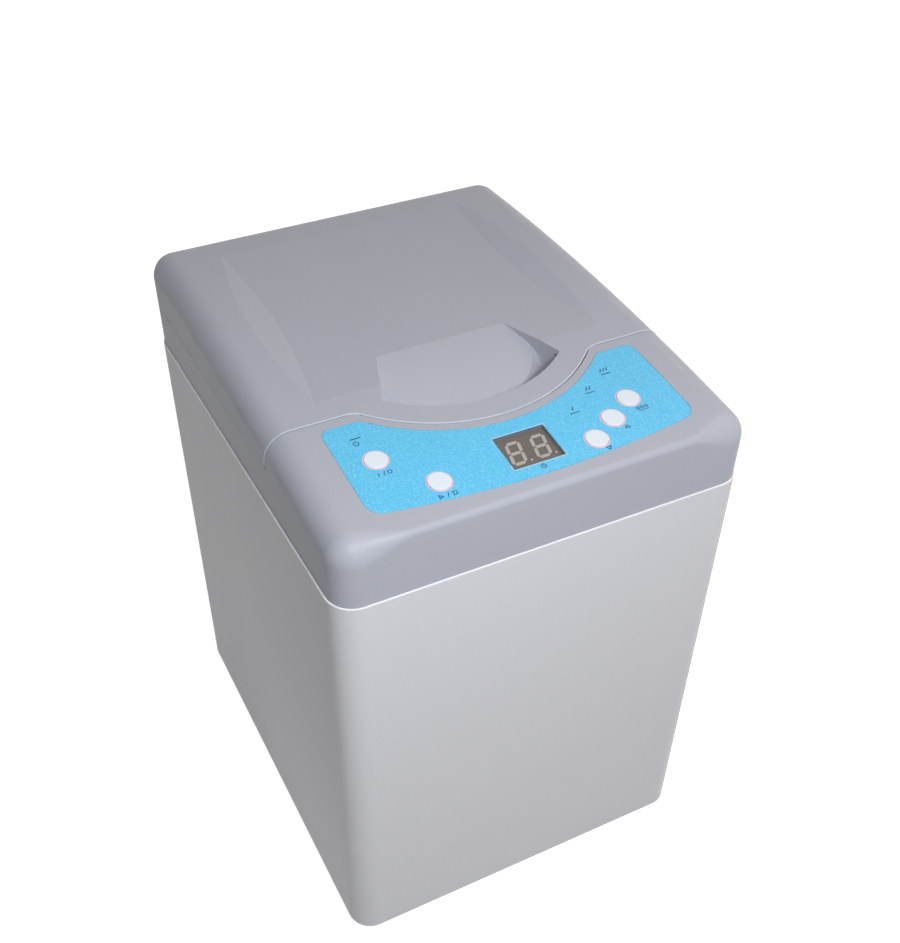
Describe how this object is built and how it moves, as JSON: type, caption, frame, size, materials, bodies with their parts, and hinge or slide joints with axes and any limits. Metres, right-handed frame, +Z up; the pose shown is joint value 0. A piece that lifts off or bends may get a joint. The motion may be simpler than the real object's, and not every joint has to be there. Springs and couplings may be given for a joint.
{
  "type": "dental impression mixer",
  "caption": "Bench-top centrifugal mixer for dental impression material: rounded casing, hinged lid with finger pull, sloping keypad and an inclined bowl that spins in a round well.",
  "frame": {"origin": "centre of the footprint, on the surface that the feet stand on", "axes": "+Z up, the control panel faces -Y, the hinges are at +Y, +X is to the right of someone facing the panel"},
  "size_m": [0.24, 0.2937, 0.3494],
  "materials": {
    "painted_casing": "satin powder coat, light warm grey",
    "housing_plastic": "fine-textured blue-grey moulding",
    "overlay_film": "printed cyan polyester film",
    "button_white": "white",
    "filter_smoke": "smoked transparent",
    "segment_grey": "unlit light grey segments",
    "black_plastic": "black",
    "board_green": "green solder mask",
    "lamp_dark": "unlit lamp",
    "rubber_black": "black rubber",
    "zinc_steel": "zinc plated",
    "bare_steel": "ground steel",
    "tub_steel": "deep-drawn stainless steel",
    "cast_alloy": "die cast",
    "lamination": "stacked laminations",
    "bowl_plastic": "white polypropylene",
    "cap_plastic": "blue polypropylene",
    "capacitor_can": "drawn can"
  },
  "bodies": {
    "housing": {"base_pan": "zinc_steel", "board_screws": "zinc_steel", "body_casing": "painted_casing", "capacitor_clamp": "zinc_steel", "control_board": "board_green", "control_overlay": "overlay_film", "display_digits": "segment_grey", "display_filter": "filter_smoke", "display_module": "black_plastic", "friction_track": "tub_steel", "hinge_housing_leaves": "tub_steel", "hinge_pins": "bare_steel", "indicator_lamps": "lamp_dark", "lock_body": "black_plastic", "mixing_tub": "tub_steel", "motor_bearings": "bare_steel", "motor_bridge": "zinc_steel", "motor_end_bells": "cast_alloy", "motor_housing": "cast_alloy", "motor_pillars": "zinc_steel", "motor_stator": "lamination", "power_board": "board_green", "power_inlet": "black_plastic", "rear_screws": "zinc_steel", "rubber_feet": "rubber_black", "rubber_isolators": "rubber_black", "run_capacitor": "capacitor_can", "shaft_seal": "rubber_black", "tact_switches": "black_plastic", "tie_rods": "zinc_steel", "top_housing": "housing_plastic", "tub_screws": "zinc_steel", "well_seal_and_pads": "rubber_black"},
    "lid": {"lid_shell": "housing_plastic", "lid_liner": "housing_plastic", "liner_screws": "zinc_steel", "lid_hook": "zinc_steel", "hinge_lid_leaves": "tub_steel", "hinge_lid_screws": "zinc_steel"},
    "rotor": {"drive_shaft": "bare_steel", "motor_core": "lamination", "cooling_fan": "black_plastic", "rotor_arm": "cast_alloy", "counterweight": "bare_steel", "weight_screws": "zinc_steel", "spindle_nut": "zinc_steel", "carrier_bearings": "bare_steel"},
    "holder": {"bowl_holder": "cast_alloy", "friction_tyre": "rubber_black", "holder_axle": "bare_steel", "holder_nut": "zinc_steel"},
    "bowl": {"mixing_bowl": "bowl_plastic"},
    "cap": {"bowl_cap": "cap_plastic"},
    "lock_bolt": {"lock_plunger": "bare_steel"},
    "fuse_holder": {"fuse_drawer": "black_plastic"},
    "power_button_cap": {"power_button": "button_white"},
    "start_button_cap": {"start_button": "button_white"},
    "down_button_cap": {"down_button": "button_white"},
    "up_button_cap": {"up_button": "button_white"},
    "memory_button_cap": {"memory_button": "button_white"}
  },
  "joints": [
    {"name": "lid_hinge", "type": "hinge", "parent": "housing", "child": "lid", "pos_m": [0, 0.1457, 0.317], "axis": [-1, 0, 0], "range_deg": [0, 100]},
    {"name": "rotor_spin", "type": "hinge", "parent": "housing", "child": "rotor", "pos_m": [0, 0.006, 0.145], "axis": [0, 0, 1], "continuous": true},
    {"name": "holder_spin", "type": "hinge", "parent": "rotor", "child": "holder", "pos_m": [0, 0.006, 0.24], "axis": [-0.7071, 0, 0.7071], "continuous": true},
    {"name": "bowl_lift", "type": "slide", "parent": "holder", "child": "bowl", "axis": [-0.7071, 0, 0.7071], "range_m": [0, 0.045]},
    {"name": "cap_turn", "type": "hinge", "parent": "bowl", "child": "cap", "pos_m": [0, 0.006, 0.24], "axis": [-0.7071, 0, 0.7071], "range_deg": [0, 40]},
    {"name": "lock_bolt_slide", "type": "slide", "parent": "housing", "child": "lock_bolt", "axis": [-1, 0, 0], "range_m": [0, 0.005], "stiffness_N_per_m": 200, "springref_m": -0.001},
    {"name": "fuse_drawer_slide", "type": "slide", "parent": "housing", "child": "fuse_holder", "axis": [0, 1, 0], "range_m": [0, 0.012]},
    {"name": "power_button_press", "type": "slide", "parent": "housing", "child": "power_button_cap", "axis": [0, 0.1355, -0.9908], "range_m": [0, 0.0008], "stiffness_N_per_m": 1500, "springref_m": -0.0002},
    {"name": "start_button_press", "type": "slide", "parent": "housing", "child": "start_button_cap", "axis": [0, 0.1355, -0.9908], "range_m": [0, 0.0008], "stiffness_N_per_m": 1500, "springref_m": -0.0002},
    {"name": "down_button_press", "type": "slide", "parent": "housing", "child": "down_button_cap", "axis": [0, 0.1355, -0.9908], "range_m": [0, 0.0008], "stiffness_N_per_m": 1500, "springref_m": -0.0002},
    {"name": "up_button_press", "type": "slide", "parent": "housing", "child": "up_button_cap", "axis": [0, 0.1355, -0.9908], "range_m": [0, 0.0008], "stiffness_N_per_m": 1500, "springref_m": -0.0002},
    {"name": "memory_button_press", "type": "slide", "parent": "housing", "child": "memory_button_cap", "axis": [0, 0.1355, -0.9908], "range_m": [0, 0.0008], "stiffness_N_per_m": 1500, "springref_m": -0.0002}
  ],
  "couplings": [
    {"joint": "holder_spin", "follows": "rotor_spin", "ratio": -1.8465}
  ]
}
